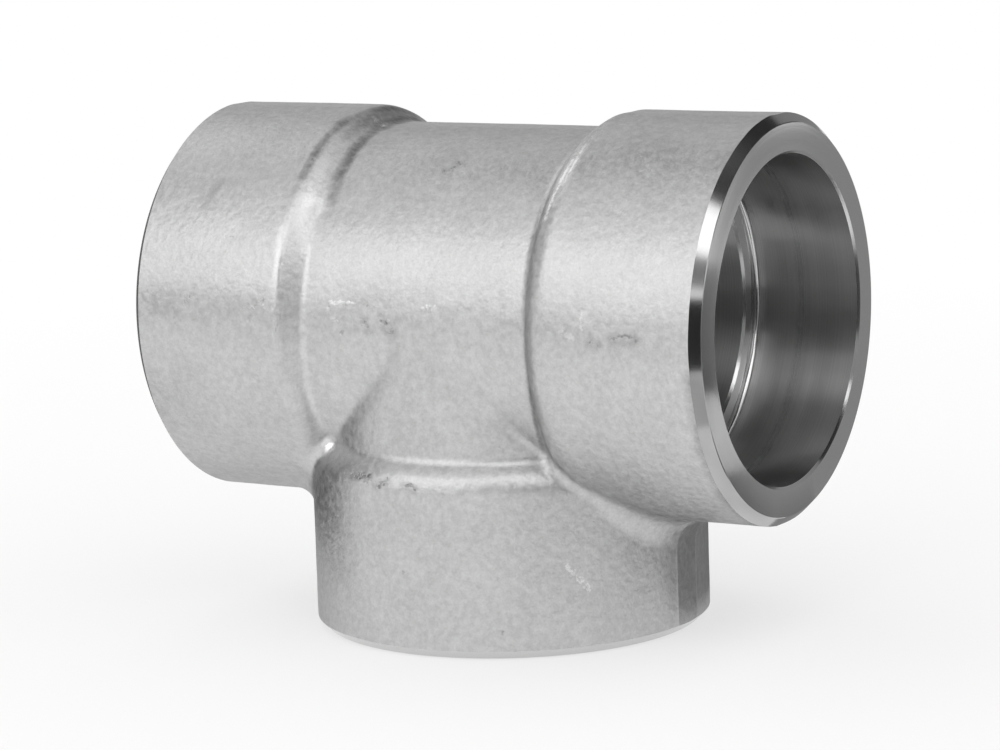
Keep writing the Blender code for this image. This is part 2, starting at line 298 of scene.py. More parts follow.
# The studio. A panel is a sheet round the tee: degrees from -Y towards +X, degrees above the
# horizon, metres from the tee, and a brightness where 1 is white. The ones within 0.3 m are the
# small cards and dark gaps that show in its lower side, its chamfer and its bores
Panel = namedtuple("Panel", "name azimuths elevations distance brightness lights_floor")
PANELS = (
    Panel("roof_front", (-90, 90), (60, 89), 1.1, 0.74, True),
    Panel("roof_back", (90, 168), (60, 89), 1.1, 0.97, False),
    Panel("roof_left", (168, 270), (60, 89), 1.1, 0.2, False),
    Panel("top_softbox", (-62, 10), (42, 60), 1.0, 0.9, True),
    Panel("top_right", (10, 50), (42, 60), 1.0, 1.95, True),
    Panel("top_far_right", (50, 88), (42, 60), 1.0, 1.0, True),
    Panel("top_left", (-150, -62), (42, 60), 1.0, 0.8, False),
    Panel("top_back", (88, 210), (52, 60), 1.0, 0.74, False),
    Panel("key_high", (-52, 10), (28, 42), 1.0, 1.77, True),
    Panel("key_middle", (-52, 10), (16, 28), 1.0, 1.36, True),
    Panel("key_low", (-50, 12), (5, 16), 1.0, 1.64, True),
    Panel("key_foot", (-60, 12), (-3, 5), 1.0, 0.02, True),
    Panel("between_high", (10, 24), (28, 42), 1.0, 1.12, True),
    Panel("between_high_right", (24, 38), (28, 42), 1.0, 1.2, True),
    Panel("between_low", (10, 38), (14, 28), 1.0, 0.02, True),
    Panel("side_softbox", (38, 60), (25, 43), 1.0, 1.67, True),
    Panel("side_softbox_right", (60, 88), (25, 43), 1.0, 1.7, True),
    Panel("side_foot_left", (38, 58), (14, 25), 1.0, 1.6, True),
    Panel("side_softbox_foot", (58, 88), (14, 25), 1.0, 0.17, True),
    Panel("right_dark", (88, 165), (14, 52), 1.0, 0.03, False),
    Panel("back_card", (165, 198), (2, 52), 1.0, 0.24, False),
    Panel("left_softbox", (-165, -98), (14, 42), 1.0, 0.7, True),
    Panel("left_bright", (-124, -98), (14, 50), 0.9, 1.4, True),
    Panel("left_card", (-98, -55), (14, 42), 1.0, 0.32, False),
    Panel("low_front_card", (14, 34), (-15, -2), 0.28, 0.8, False),
    Panel("low_front_pale", (34, 56), (-15, -2), 0.28, 0.3, False),
    Panel("mid_front_card", (14, 34), (-2, 14), 0.28, 0.45, False),
    Panel("mid_front_pale", (34, 56), (-2, 14), 0.28, 0.25, False),
    Panel("low_right_dark", (56, 82), (-10, 9), 0.14, 0.01, False),
    Panel("low_right_grey", (56, 82), (-42, -10), 0.14, 0.6, False),
    Panel("low_right_card", (82, 118), (-42, -20), 0.12, 0.13, False),
    Panel("mouth_strip_low", (82, 97), (-20, -12), 0.12, 0.6, False),
    Panel("mouth_dark", (82, 118), (-12, 1), 0.12, 0.06, False),
    Panel("mouth_strip_high", (82, 97), (1, 14), 0.12, 0.3, False),
    Panel("under_back", (95, 205), (-53, -31), 0.075, 0.31, False),
    Panel("under_left", (205, 250), (-53, -31), 0.075, 0.95, False),
    Panel("low_back_card", (118, 170), (-30, 14), 0.12, 0.29, False),
    Panel("low_back_left", (170, 210), (-30, 14), 0.12, 0.26, False),
    Panel("low_left_edge", (-150, -112), (-30, 14), 0.12, 0.5, False),
    Panel("low_left_card", (-112, -90), (-30, 14), 0.12, 0.16, False),
    Panel("low_left_pale", (-90, -62), (-30, 14), 0.12, 0.09, False),
)
PANEL_STEPS = 12
FLOOR_TONE = 0.92
FLOOR_HALF_WIDTH = 8.0
FLOOR_FADE_FROM, FLOOR_FADE_TO = 0.16, 0.45
FLOOR_LIFT = 0.55

# The photograph's camera: angles in degrees, the rest in metres and millimetres of lens
CAMERA_AZIMUTH = 30.134
CAMERA_ELEVATION = 9.572
CAMERA_ROLL = -1.895
CAMERA_DISTANCE = 690.66 * MM
CAMERA_RIGHT = -0.862 * MM
CAMERA_UP = -13.331 * MM
CAMERA_LENS, CAMERA_SENSOR = 129.50, 36.0
CAMERA_CLIP_START = 10.0 * MM

# One circle of an arm: how far it lies from the crossing, its radius, the slope of the skin
# there, and the radius of the ball that rolls along the seam and touches the circle
Station = namedtuple("Station", "along radius slope ball", defaults=(0.0, 0.0))
MITRE_MIRROR = Matrix(((0, 0, -1), (0, 1, 0), (-1, 0, 0)))


def steps(first, last, count):
    """Values from first to last in equal steps, both included."""
    return [first + (last - first) * k / count for k in range(count + 1)]


def shortening(count, ease):
    """Shares from 0 to 1, whose steps shorten towards the end."""
    return [1 - (1 - share) ** ease for share in steps(0, 1, count)]


def tapered(first, last, taper, shares):
    """Radii from first to last, which change fast at first and slowly at the end."""
    return [last + (first - last) * (1 - share) ** taper for share in shares]


def contact_angle(station):
    """Angle below the horizontal at which the ball in the crotch touches this station's circle."""
    reach = station.radius + station.ball * math.cos(station.slope)
    return math.asin(min(1.0, (station.along - station.ball * math.sin(station.slope)) / reach))


def seam_stations(radius, angles, balls):
    """Stations on a plain cylinder, each where a ball of that size touches it at that angle."""
    return [Station((radius + ball) * math.sin(angle), radius, ball=ball)
            for angle, ball in zip(angles, balls)]


def shoulder_stations(ball):
    """The S-shaped step from barrel to collar: a hollow round, a straight flank and a rim round."""
    step = COLLAR_RADIUS - BARREL_RADIUS
    rounds = SHOULDER_ROOT_RADIUS + SHOULDER_RIM_RADIUS
    slope = math.radians(SHOULDER_SLOPE)
    flank = (step - rounds * (1 - math.cos(slope))) / math.tan(slope)
    half_length = (rounds * math.sin(slope) + flank) / 2
    root_start = SHOULDER_AT - half_length
    rim_end = SHOULDER_AT + half_length
    root = [Station(root_start + SHOULDER_ROOT_RADIUS * math.sin(angle),
                    BARREL_RADIUS + SHOULDER_ROOT_RADIUS * (1 - math.cos(angle)), angle, ball)
            for angle in steps(0, slope, SHOULDER_STEPS)]
    rim = [Station(rim_end - SHOULDER_RIM_RADIUS * math.sin(angle),
                   COLLAR_RADIUS - SHOULDER_RIM_RADIUS * (1 - math.cos(angle)), angle, ball)
           for angle in steps(slope, 0, SHOULDER_STEPS)]
    return root + rim


def forging_stations():
    """The outside of one arm, from the crossing of the axes to where the end is turned."""
    shoulder_ball = SHOULDER_BALL_SHARE * SHOULDER_ROOT_RADIUS
    shoulder = shoulder_stations(shoulder_ball)
    shares = shortening(BARREL_STEPS, BARREL_EASE)
    barrel = seam_stations(BARREL_RADIUS, [contact_angle(shoulder[0]) * share for share in shares],
                           tapered(CREASE_RADIUS, shoulder_ball, CREASE_TAPER, shares))
    band = [QUARTER_TURN - angle for angle in band_angles()]
    angles = steps(contact_angle(shoulder[-1]), band[0], COLLAR_STEPS)
    balls = tapered(shoulder_ball, CROTCH_RADIUS, CROTCH_TAPER, steps(0, 1, COLLAR_STEPS))
    collar = seam_stations(COLLAR_RADIUS, angles + band[1:], balls + [CROTCH_RADIUS] * len(band[1:]))
    turned_from = CENTRE_TO_END - END_CHAMFER
    plain = [Station(along, COLLAR_RADIUS)
             for along in steps(collar[-1].along, turned_from, COLLAR_RINGS)]
    return barrel[:-1] + shoulder + collar[1:] + plain[1:]


def bore_stations():
    """The inside of one arm: through bore, lip, socket floor, corner, socket and mouth."""
    bore = seam_stations(BORE_RADIUS, steps(0, QUARTER_TURN, BORE_STEPS), [0.0] * (BORE_STEPS + 1))
    lip = [Station(SOCKET_FLOOR_AT - BORE_LIP_CHAMFER, BORE_RADIUS),
           Station(SOCKET_FLOOR_AT, BORE_RADIUS + BORE_LIP_CHAMFER)]
    corner = [Station(SOCKET_FLOOR_AT + SOCKET_CORNER_RADIUS * (1 - math.cos(angle)),
                      SOCKET_RADIUS - SOCKET_CORNER_RADIUS * (1 - math.sin(angle)))
              for angle in steps(0, QUARTER_TURN, CORNER_STEPS)]
    mouth = [Station(CENTRE_TO_END - SOCKET_MOUTH_CHAMFER, SOCKET_RADIUS),
             Station(CENTRE_TO_END, SOCKET_RADIUS + SOCKET_MOUTH_CHAMFER)]
    return bore + lip + corner + mouth


def skin_point(station, angle):
    """Point on the right arm's front side, at an angle below the horizontal."""
    return Vector((station.along, -station.radius * math.cos(angle),
                   -station.radius * math.sin(angle)))


def skin_normal(station, angle):
    """Direction out of the forging at the same point."""
    outward = math.cos(station.slope)
    return Vector((-math.sin(station.slope), -outward * math.cos(angle),
                   -outward * math.sin(angle)))


def fillet_row(station, angle):
    """Half of the fillet's arc at one contact point, from the skin to the mitre plane."""
    normal = skin_normal(station, angle)
    centre = skin_point(station, angle) + station.ball * normal
    to_mitre = (normal + MITRE_MIRROR @ normal).normalized()
    return [centre - station.ball * normal.slerp(to_mitre, part)
            for part in steps(0, 1, HALF_FILLET_STEPS)]


def add_strip(mesh, rows):
    """Skin between rows of points. A row with one point more than the last ends in a triangle."""
    made = [[mesh.verts.new(point) for point in row] for row in rows]
    for row, following in zip(made, made[1:]):
        for k in range(len(row) - 1):
            mesh.faces.new((row[k], following[k], following[k + 1], row[k + 1]))
        if len(following) > len(row):
            mesh.faces.new((row[-1], following[-2], following[-1]))


def add_images(mesh, rows, images):
    """The same strip of skin in each of its mirror images."""
    for image in images:
        add_strip(mesh, [[image @ point for point in row] for row in rows])


def band_angles():
    """Angles short of the parting plane at which the skin needs points to show the flash band."""
    return [math.asin((BAND_HALF_WIDTH + offset * MM) / COLLAR_RADIUS) for offset in BAND_OFFSETS]


def crown_angles(count):
    """Angles from the top of the run to its side, closer together at the flash band."""
    band = band_angles()
    return [angle - QUARTER_TURN for angle in band[::-1]] + steps(band[0] - QUARTER_TURN, 0, count)[1:]


def add_tee_skin(mesh, stations, crown_steps):
    """The skin of run and branch for one profile, open at the three ends."""
    seam = []
    for station in stations:
        seam.append(contact_angle(station))
        if seam[-1] > QUARTER_TURN - WELD_DISTANCE:
            break
    crown = [[skin_point(station, angle) for angle in crown_angles(crown_steps)]
             for station in stations]
    flank = [[skin_point(station, angle) for angle in seam[:k + 1]]
             for k, station in enumerate(stations)]
    fillet = [fillet_row(station, angle) for station, angle in zip(stations, seam)]
    quarters = [Matrix.Diagonal((x, y, 1)) for x in (1, -1) for y in (1, -1)]
    run_and_branch = quarters + [quarter @ MITRE_MIRROR for quarter in quarters]
    add_images(mesh, crown, quarters)
    add_images(mesh, flank, run_and_branch)
    if stations[0].ball > 0:
        add_images(mesh, fillet, run_and_branch)
    bmesh.ops.remove_doubles(mesh, verts=mesh.verts[:], dist=WELD_DISTANCE)


def unevenness(point):
    """How far the blasted skin stands out or in at a point."""
    swell = SWELL_HEIGHT * noise.noise(point / SWELL_LENGTH + SWELL_SEED)
    ripple = RIPPLE_HEIGHT * noise.noise(point / RIPPLE_LENGTH + RIPPLE_SEED)
    folds = sum(fold_height(fold, point) for fold in FOLDS)
    return swell + ripple + folds + flash_band(point)


def smooth_step(value):
    """0 below 0, 1 above 1, and a soft S between them."""
    value = min(1.0, max(0.0, value))
    return value * value * (3 - 2 * value)


def above_front(point):
    """Angle of a point round the run, in degrees from its front over its top, -90 to 270."""
    return (math.degrees(math.atan2(point.z, -point.y)) + 90) % 360 - 90


def step_share(distance, root, rim):
    """How far up its step a straight shoulder with rounded ends is, from 0 to 1."""
    share = (distance - root) / (rim - root)
    rounding = LEFT_ROUNDING / (rim - root)
    if share < rounding:
        return max(0.0, share + rounding) ** 2 / (4 * rounding)
    if share > 1 - rounding:
        return 1 - max(0.0, 1 + rounding - share) ** 2 / (4 * rounding)
    return share


def reshaped(point):
    """Where the left shoulder's own profile carries a point of the plain forging."""
    if point.x > 0 or point.z < LEFT_STARTS_AT or abs(-point.x - SHOULDER_AT) > LEFT_REACH:
        return point
    high = smooth_step((above_front(point) - LEFT_CHANGES_FROM) / (LEFT_CHANGES_TO - LEFT_CHANGES_FROM))
    root = LEFT_ROOT_LOW + (LEFT_ROOT_HIGH - LEFT_ROOT_LOW) * high
    share = step_share(-point.x, root, LEFT_RIM_AT)
    wanted = BARREL_RADIUS + (COLLAR_RADIUS - BARREL_RADIUS) * share
    radius = math.hypot(point.y, point.z)
    part = smooth_step((point.z - LEFT_STARTS_AT) / (LEFT_FULL_AT - LEFT_STARTS_AT))
    scale = 1 + part * (wanted / radius - 1)
    return Vector((point.x, point.y * scale, point.z * scale))


def fold_height(fold, point):
    """Height of a ridge on the run at a point, fading out at its two ends."""
    angle = above_front(point)
    inside = min(angle - fold.first, fold.last - angle) / FOLD_FADE
    off_line = (point.x / MM - fold.along) / fold.width
    return fold.height * MM * min(1.0, max(0.0, inside)) * math.exp(-off_line * off_line)


def flash_band(point):
    """Height of the trimmed flash, whose edge line shows below the run's top."""
    off_plane = abs(point.y)
    from_line = (off_plane - BAND_HALF_WIDTH) / BAND_LINE_WIDTH
    line = BAND_LINE_HEIGHT * math.exp(-from_line * from_line) if point.z < 0 else 0.0
    inside = min(1.0, off_plane / BAND_HALF_WIDTH)
    softness = 1 if point.z < 0 else 2
    return line - BAND_SINK * (1 - inside * inside) ** softness


def roughen(mesh):
    """Move the forging's skin in and out. Its end loops also follow the cone that trims them."""
    bmesh.ops.recalc_face_normals(mesh, faces=mesh.faces[:])
    mesh.normal_update()
    moves = []
    pitted = strengths([vert.co for vert in mesh.verts], PIT_MARKS)
    for vert, pitting in zip(mesh.verts, pitted):
        height = unevenness(vert.co) - pitting * ragged(vert.co)
        out = vert.normal.copy()
        if vert.is_boundary:
            arm = end_direction(vert.co)
            radial = (vert.co - arm * vert.co.dot(arm)).normalized()
            out = radial - arm
        moves.append(out * height + reshaped(vert.co) - vert.co)
    for vert, move in zip(mesh.verts, moves):
        vert.co += move


def ragged(point):
    """How deep a fully pitted skin is at a point."""
    return PIT_SINK * max(0.0, PIT_FILL + noise.noise(point / PIT_SIZE))


def end_direction(point):
    """Outward axis of the arm that a point near an end lies on."""
    return max((Vector((1, 0, 0)), Vector((-1, 0, 0)), Vector((0, 0, -1))), key=point.dot)


def open_loop(mesh, arm):
    """The open edges at an arm's end."""
    return [edge for edge in mesh.edges
            if edge.is_boundary and all(end_direction(vert.co) == arm for vert in edge.verts)]


def turn_ring(mesh, edges, arm, along, radius):
    """Continue an open loop to an exact circle, as the tool leaves it."""
    made = bmesh.ops.extrude_edge_only(mesh, edges=edges)["geom"]
    for vert in (item for item in made if isinstance(item, bmesh.types.BMVert)):
        radial = (vert.co - arm * vert.co.dot(arm)).normalized()
        vert.co = arm * along + radial * radius
    return [item for item in made if isinstance(item, bmesh.types.BMEdge)]


def by_angle(edges, arm):
    """The corners of a loop round an arm with their angles, in order, and the first once more."""
    side = Vector((0, 1, 0))
    upright = arm.cross(side)
    verts = {vert for edge in edges for vert in edge.verts}
    turns = {vert: math.atan2(vert.co.dot(upright), vert.co.dot(side)) for vert in verts}
    corners = [(turns[vert], vert) for vert in sorted(verts, key=turns.get)]
    return corners + [(corners[0][0] + 2 * math.pi, corners[0][1])]


def add_ring(mesh, outer, inner):
    """The flat ring between two circles, whose corners need not be as many."""
    k = m = 0
    while k + 1 < len(outer) or m + 1 < len(inner):
        if m + 1 == len(inner) or (k + 1 < len(outer) and outer[k + 1][0] <= inner[m + 1][0]):
            mesh.faces.new((outer[k][1], outer[k + 1][1], inner[m][1]))
            k += 1
        else:
            mesh.faces.new((outer[k][1], inner[m + 1][1], inner[m][1]))
            m += 1


def close_ends(mesh):
    """Chamfer each end, break its edge, and join it to the socket's mouth with the ring face."""
    for arm in (Vector((1, 0, 0)), Vector((-1, 0, 0)), Vector((0, 0, -1))):
        loops = open_loop(mesh, arm)
        chamfer_middle = CENTRE_TO_END - END_CHAMFER / 2
        outer = [edge for edge in loops if edge.verts[0].co.dot(arm) < chamfer_middle]
        inner = [edge for edge in loops if edge not in outer]
        face_radius = COLLAR_RADIUS - END_CHAMFER
        ring = turn_ring(mesh, outer, arm, CENTRE_TO_END - EDGE_BREAK, face_radius + EDGE_BREAK)
        ring = turn_ring(mesh, ring, arm, CENTRE_TO_END, face_radius - EDGE_BREAK)
        add_ring(mesh, by_angle(ring, arm), by_angle(inner, arm))


def nearness(mark, point):
    """The mark's strength at a point, fading to nothing at its reach."""
    start, end = MM * Vector(mark.start), MM * Vector(mark.end)
    line = end - start
    share = min(1.0, max(0.0, (point - start).dot(line) / line.length_squared))
    gap = (point - start - share * line).length / (mark.reach * MM)
    return mark.strength * max(0.0, 1.0 - gap * gap)


def near_mark(tree, mark):
    """Indices of the points that a mark may reach."""
    start, end = MM * Vector(mark.start), MM * Vector(mark.end)
    reach = (end - start).length / 2 + mark.reach * MM
    return [found[1] for found in tree.find_range((start + end) / 2, reach)]


def strengths(points, marks):
    """How strongly the marks show at each point."""
    tree = KDTree(len(points))
    for index, point in enumerate(points):
        tree.insert(point, index)
    tree.balance()
    values = [0.0] * len(points)
    for mark in marks:
        for index in near_mark(tree, mark):
            values[index] = max(values[index], nearness(mark, points[index]))
    return values


def refine(mesh, marks):
    """Divide the skin more finely under the marks, but not at its open ends."""
    wider = [mark._replace(reach=mark.reach + MARK_MARGIN) for mark in marks]
    verts = mesh.verts[:]
    tree = KDTree(len(verts))
    for index, vert in enumerate(verts):
        tree.insert(vert.co, index)
    tree.balance()
    chosen = {verts[index] for mark in wider for index in near_mark(tree, mark)
              if nearness(mark, verts[index].co) > 0}
    edges = [edge for edge in mesh.edges if not edge.is_boundary and chosen.issuperset(edge.verts)]
    bmesh.ops.subdivide_edges(mesh, edges=edges, cuts=MARK_CUTS, use_grid_fill=True)


def add_marks(data, name, marks):
    """Keep how strongly the marks show at each vertex, for the skin's material."""
    centre = Vector((0, 0, CENTRE_TO_END))
    values = strengths([vert.co - centre for vert in data.vertices], marks)
    layer = data.attributes.new(name, "FLOAT", "POINT")
    layer.data.foreach_set("value", values)


def finish_of(face):
    """Material slot of a face: forged, or faced or bored, on the run or the branch."""
    middle = face.calc_center_median()
    along_end = max(abs(middle.x), -middle.z)
    on_run = abs(middle.x) >= -middle.z
    side = abs(middle.z) if on_run else abs(middle.x)
    inside = math.hypot(side, middle.y) < (SOCKET_RADIUS + BARREL_RADIUS) / 2
    if not inside and along_end < CENTRE_TO_END - END_CHAMFER + SKIN_MARGIN:
        return FORGED_SLOT
    across = face.normal.x if on_run else face.normal.z
    slot = BORED_SLOT if inside and abs(across) < SQUARE_ACROSS else FACED_SLOT
    return slot if on_run else slot + 1


def tee_mesh():
    """The whole skin about the crossing of the axes, with its ends closed."""
    mesh = bmesh.new()
    add_tee_skin(mesh, forging_stations(), CROWN_STEPS)
    refine(mesh, PIT_MARKS + RUB_AND_HIGHLIGHT_MARKS)
    roughen(mesh)
    bores = bmesh.new()
    add_tee_skin(bores, bore_stations(), BORE_CROWN_STEPS)
    scratch = bpy.data.meshes.new("bores")
    bores.to_mesh(scratch)
    bores.free()
    mesh.from_mesh(scratch)
    bpy.data.meshes.remove(scratch)
    close_ends(mesh)
    bmesh.ops.recalc_face_normals(mesh, faces=mesh.faces[:])
    return mesh


def make_tee(materials):
    """The one piece, standing on its branch, with its finishes and marks."""
    mesh = tee_mesh()
    for face in mesh.faces:
        face.material_index = finish_of(face)
    bmesh.ops.translate(mesh, verts=mesh.verts[:], vec=(0, 0, CENTRE_TO_END))
    data = bpy.data.meshes.new("tee_forging")
    mesh.to_mesh(data)
    mesh.free()
    for material in materials:
        data.materials.append(material)
    add_marks(data, "pitting", PIT_MARKS)
    add_marks(data, "rubbed_and_highlight", RUB_AND_HIGHLIGHT_MARKS)
    add_marks(data, "stain_and_shade", STAIN_AND_SHADE_MARKS)
    add_marks(data, "painted_light", PAINTED_LIGHT_MARKS)
    data.shade_smooth()
    data.set_sharp_from_angle(angle=math.radians(SHARP_ANGLE))
    tee = bpy.data.objects.new("tee_forging", data)
    bpy.context.scene.collection.objects.link(tee)
    return tee


def node(tree, kind, inputs, **settings):
    """A shader node with its settings, and each input as a value or the socket that feeds it."""
    made = tree.nodes.new("ShaderNode" + kind)
    for name, value in settings.items():
        setattr(made, name, value)
    for key, value in inputs.items():
        if isinstance(value, bpy.types.NodeSocket):
            tree.links.new(value, made.inputs[key])
        else:
            made.inputs[key].default_value = value
    return made


def new_material(name):
    """A metal with a Principled shader, and the object's own coordinates in metres."""
    material = bpy.data.materials.new(name)
    material.use_nodes = True
    shader = material.node_tree.nodes["Principled BSDF"]
    shader.inputs["Metallic"].default_value = 1.0
    place = node(material.node_tree, "TexCoord", {}).outputs["Object"]
    return material, material.node_tree, shader, place


def texture(tree, place, size, detail=2.0, harshness=0.5):
    """Noise from 0 to 1 whose blotches are about one size across."""
    made = node(tree, "TexNoise", {"Vector": place, "Scale": 1 / size, "Detail": detail,
                                   "Roughness": harshness})
    return made.outputs["Fac"]


def ramp(tree, value, low, high, start, end):
    """The value's stretch from low to high turned into start to end."""
    return node(tree, "MapRange", {0: value, 1: low, 2: high, 3: start, 4: end}).outputs[0]


def combine(tree, operation, first, second):
    """The result of a sum on two values or sockets."""
    return node(tree, "Math", {0: first, 1: second}, operation=operation).outputs[0]


def absolute(tree, value):
    """The value without its sign."""
    return node(tree, "Math", {0: value}, operation="ABSOLUTE").outputs[0]


def attribute(tree, name):
    """How strongly one kind of mark shows."""
    return node(tree, "Attribute", {}, attribute_name=name).outputs["Fac"]


def grey(tree, tone):
    """The grey of that tone."""
    return node(tree, "CombineColor", {0: tone, 1: tone, 2: tone}).outputs[0]


def bump(tree, height, depth, below=None):
    """Normal from a height from 0 to 1 that stands for a depth in metres."""
    inputs = {"Height": height, "Distance": depth, "Strength": 1.0}
    if below is not None:
        inputs["Normal"] = below
    return node(tree, "Bump", inputs).outputs["Normal"]


def pits(tree, place, density):
    """Ragged pits, 1 at the bottom. The more density, the lower the noise that makes one."""
    spots = texture(tree, place, PIT_SIZE, detail=2.5, harshness=0.55)
    edge = ramp(tree, density, 0.0, 1.0, PIT_RARE, PIT_DENSE)
    over = combine(tree, "SUBTRACT", spots, edge)
    return ramp(tree, over, 0.0, PIT_EDGE, 0.0, 1.0)


def scraped_and_highlight(tree, place, rubbed_and_highlight):
    """Where the skin is rubbed bright and where highlights are painted on it, from 0 to 1: specks at a
    mark's edge, solid in its middle.
    """
    specks = texture(tree, place, SCRAPE_AND_HIGHLIGHT_SIZE)
    edge = ramp(tree, rubbed_and_highlight, 0.0, 1.0, SCRAPE_AND_HIGHLIGHT_RARE, SCRAPE_AND_HIGHLIGHT_DENSE)
    bright = ramp(tree, combine(tree, "SUBTRACT", specks, edge), 0.0, SCRAPE_AND_HIGHLIGHT_EDGE, 0.0, 1.0)
    return combine(tree, "MULTIPLY", bright, ramp(tree, rubbed_and_highlight, 0.0, SCRAPE_AND_HIGHLIGHT_FADE, 0.0, 1.0))


def trimmed_band(tree, place):
    """How much darker the skin is where the flash was sheared off, below the run's axis."""
    split = node(tree, "SeparateXYZ", {0: place})
    off_plane = absolute(tree, split.outputs["Y"])
    edge = BAND_HALF_WIDTH - BAND_LINE_WIDTH
    inside = ramp(tree, off_plane, edge - BAND_LINE_WIDTH, edge, BAND_TONE, 0.0)
    low = ramp(tree, split.outputs["Z"], CENTRE_TO_END / 2, CENTRE_TO_END, 1.0, 0.0)
    return combine(tree, "MULTIPLY", inside, low)


def forged_tone(tree, place, grain, dimple, pit, scrape_and_highlight):
    """How pale the skin is: blotches and grain, darker in pits, stains and painted shade, paler where
    rubbed and in painted highlights and a painted reflection.
    """
    blotch = texture(tree, place, BLOTCH_SIZE, detail=4.0, harshness=0.6)
    tone = combine(tree, "ADD", ramp(tree, blotch, *NOISE_WIDE, SKIN_DARK, SKIN_PALE),
                   ramp(tree, grain, *NOISE_WIDE, -GRAIN_TONE, GRAIN_TONE))
    tone = combine(tree, "ADD", tone, ramp(tree, dimple, *NOISE_NARROW, -DIMPLE_TONE, DIMPLE_TONE))
    tone = combine(tree, "SUBTRACT", tone, combine(tree, "MULTIPLY", pit, PIT_TONE))
    # Darker under the dark marks: stains, and painted shade along the left shoulder's root and rim, the
    # creases and the right crotch
    patchy = ramp(tree, texture(tree, place, STAIN_AND_SHADE_SIZE), *STAIN_AND_SHADE_PATCHES)
    stain_and_shade_amount = combine(tree, "MULTIPLY", attribute(tree, "stain_and_shade"), patchy)
    tone = combine(tree, "SUBTRACT", tone, combine(tree, "MULTIPLY", stain_and_shade_amount, STAIN_AND_SHADE_TONE))
    tone = combine(tree, "SUBTRACT", tone, trimmed_band(tree, place))
    # Paler under the rub marks: rubbed metal, and painted highlights and glints
    tone = combine(tree, "ADD", tone, combine(tree, "MULTIPLY", scrape_and_highlight, SCRAPE_AND_HIGHLIGHT_TONE))
    # Paler under the painted highlights and the painted reflection
    return combine(tree, "ADD", tone, combine(tree, "MULTIPLY", attribute(tree, "painted_light"), PAINTED_LIGHT_TONE))


def forged_roughness(tree, dimple, scrape_and_highlight):
    """Uneven over the skin, and smoother under the rub marks and under the painted highlights and
    painted reflection.
    """
    rough = combine(tree, "SUBTRACT", ramp(tree, dimple, *NOISE_NARROW, SKIN_ROUGH_LOW, SKIN_ROUGH_HIGH),
                    combine(tree, "MULTIPLY", scrape_and_highlight, SCRAPE_AND_HIGHLIGHT_SMOOTH))
    return combine(tree, "SUBTRACT", rough,
                   combine(tree, "MULTIPLY", attribute(tree, "painted_light"), PAINTED_LIGHT_SMOOTH))


def forged_relief(tree, grain, dimple, pit):
    """The blasted skin's dimples and grain, with the pits cut into them."""
    relief = bump(tree, dimple, DIMPLE_DEPTH)
    relief = bump(tree, grain, GRAIN_DEPTH, relief)
    return bump(tree, combine(tree, "SUBTRACT", 1.0, pit), PIT_DEPTH, relief)


def forged_skin():
    """Dull grey skin of a blasted forging: fine grain, blotches, pits and rubbed places, with painted
    highlights, a painted reflection and painted shade.
    """
    material, tree, shader, place = new_material("forged_skin")
    grain = texture(tree, place, GRAIN_SIZE, detail=3.0, harshness=0.6)
    dimple = texture(tree, place, DIMPLE_SIZE, detail=1.0, harshness=0.45)
    pit = pits(tree, place, attribute(tree, "pitting"))
    scrape_and_highlight = scraped_and_highlight(tree, place, attribute(tree, "rubbed_and_highlight"))
    tone = forged_tone(tree, place, grain, dimple, pit, scrape_and_highlight)
    tree.links.new(grey(tree, tone), shader.inputs["Base Color"])
    tree.links.new(forged_roughness(tree, dimple, scrape_and_highlight), shader.inputs["Roughness"])
    tree.links.new(forged_relief(tree, grain, dimple, pit), shader.inputs["Normal"])
    shader.inputs["Specular Tint"].default_value = (SKIN_EDGE_TINT,) * 3 + (1,)
    return material


def tool_travel(tree, place, axis):
    """How far the tool stands from the crossing along the arm, plus how far from its axis."""
    centred = node(tree, "VectorMath", {0: place, 1: (0, 0, -CENTRE_TO_END)}, operation="ADD")
    split = node(tree, "SeparateXYZ", {0: centred.outputs[0]})
    across = split.outputs["Z" if axis == "X" else "X"]
    flat = node(tree, "CombineXYZ", {0: across, 1: split.outputs["Y"]}).outputs[0]
    radius = node(tree, "VectorMath", {0: flat}, operation="LENGTH").outputs["Value"]
    return combine(tree, "ADD", absolute(tree, split.outputs[axis]), radius)


def rings(tree, travel, size):
    """Noise from 0 to 1 in rings about one size wide, as the tool leaves them."""
    made = node(tree, "TexNoise", {"W": travel, "Scale": 1 / size, "Detail": 2.0},
                noise_dimensions="1D")
    return made.outputs["Fac"]


def turned_steel(name, axis, finish):
    """Bright turned steel. The tool's grooves run round the arm's own axis, X or Z."""
    material, tree, shader, place = new_material(name)
    travel = tool_travel(tree, place, axis)
    groove = rings(tree, travel, GROOVE_SIZE)
    # Darker under the dark marks: painted shade on the lower side of the right end's chamfer
    tone = combine(tree, "MULTIPLY", ramp(tree, groove, *NOISE_WIDE, finish.dark, finish.pale),
                   ramp(tree, attribute(tree, "stain_and_shade"), 0.0, 1.0, 1.0, CHAMFER_SHADE_SHARE))
    tree.links.new(grey(tree, tone), shader.inputs["Base Color"])
    rough = ramp(tree, rings(tree, travel, TURNED_BAND_SIZE), *NOISE_NARROW, finish.smooth,
                 finish.rough)
    tree.links.new(rough, shader.inputs["Roughness"])
    tree.links.new(bump(tree, groove, GROOVE_DEPTH), shader.inputs["Normal"])
    shader.inputs["Anisotropic"].default_value = finish.stretch
    shader.inputs["Anisotropic Rotation"].default_value = ACROSS_GROOVES
    tangent = node(tree, "Tangent", {}, direction_type="RADIAL", axis=axis).outputs[0]
    tree.links.new(tangent, shader.inputs["Tangent"])
    return material


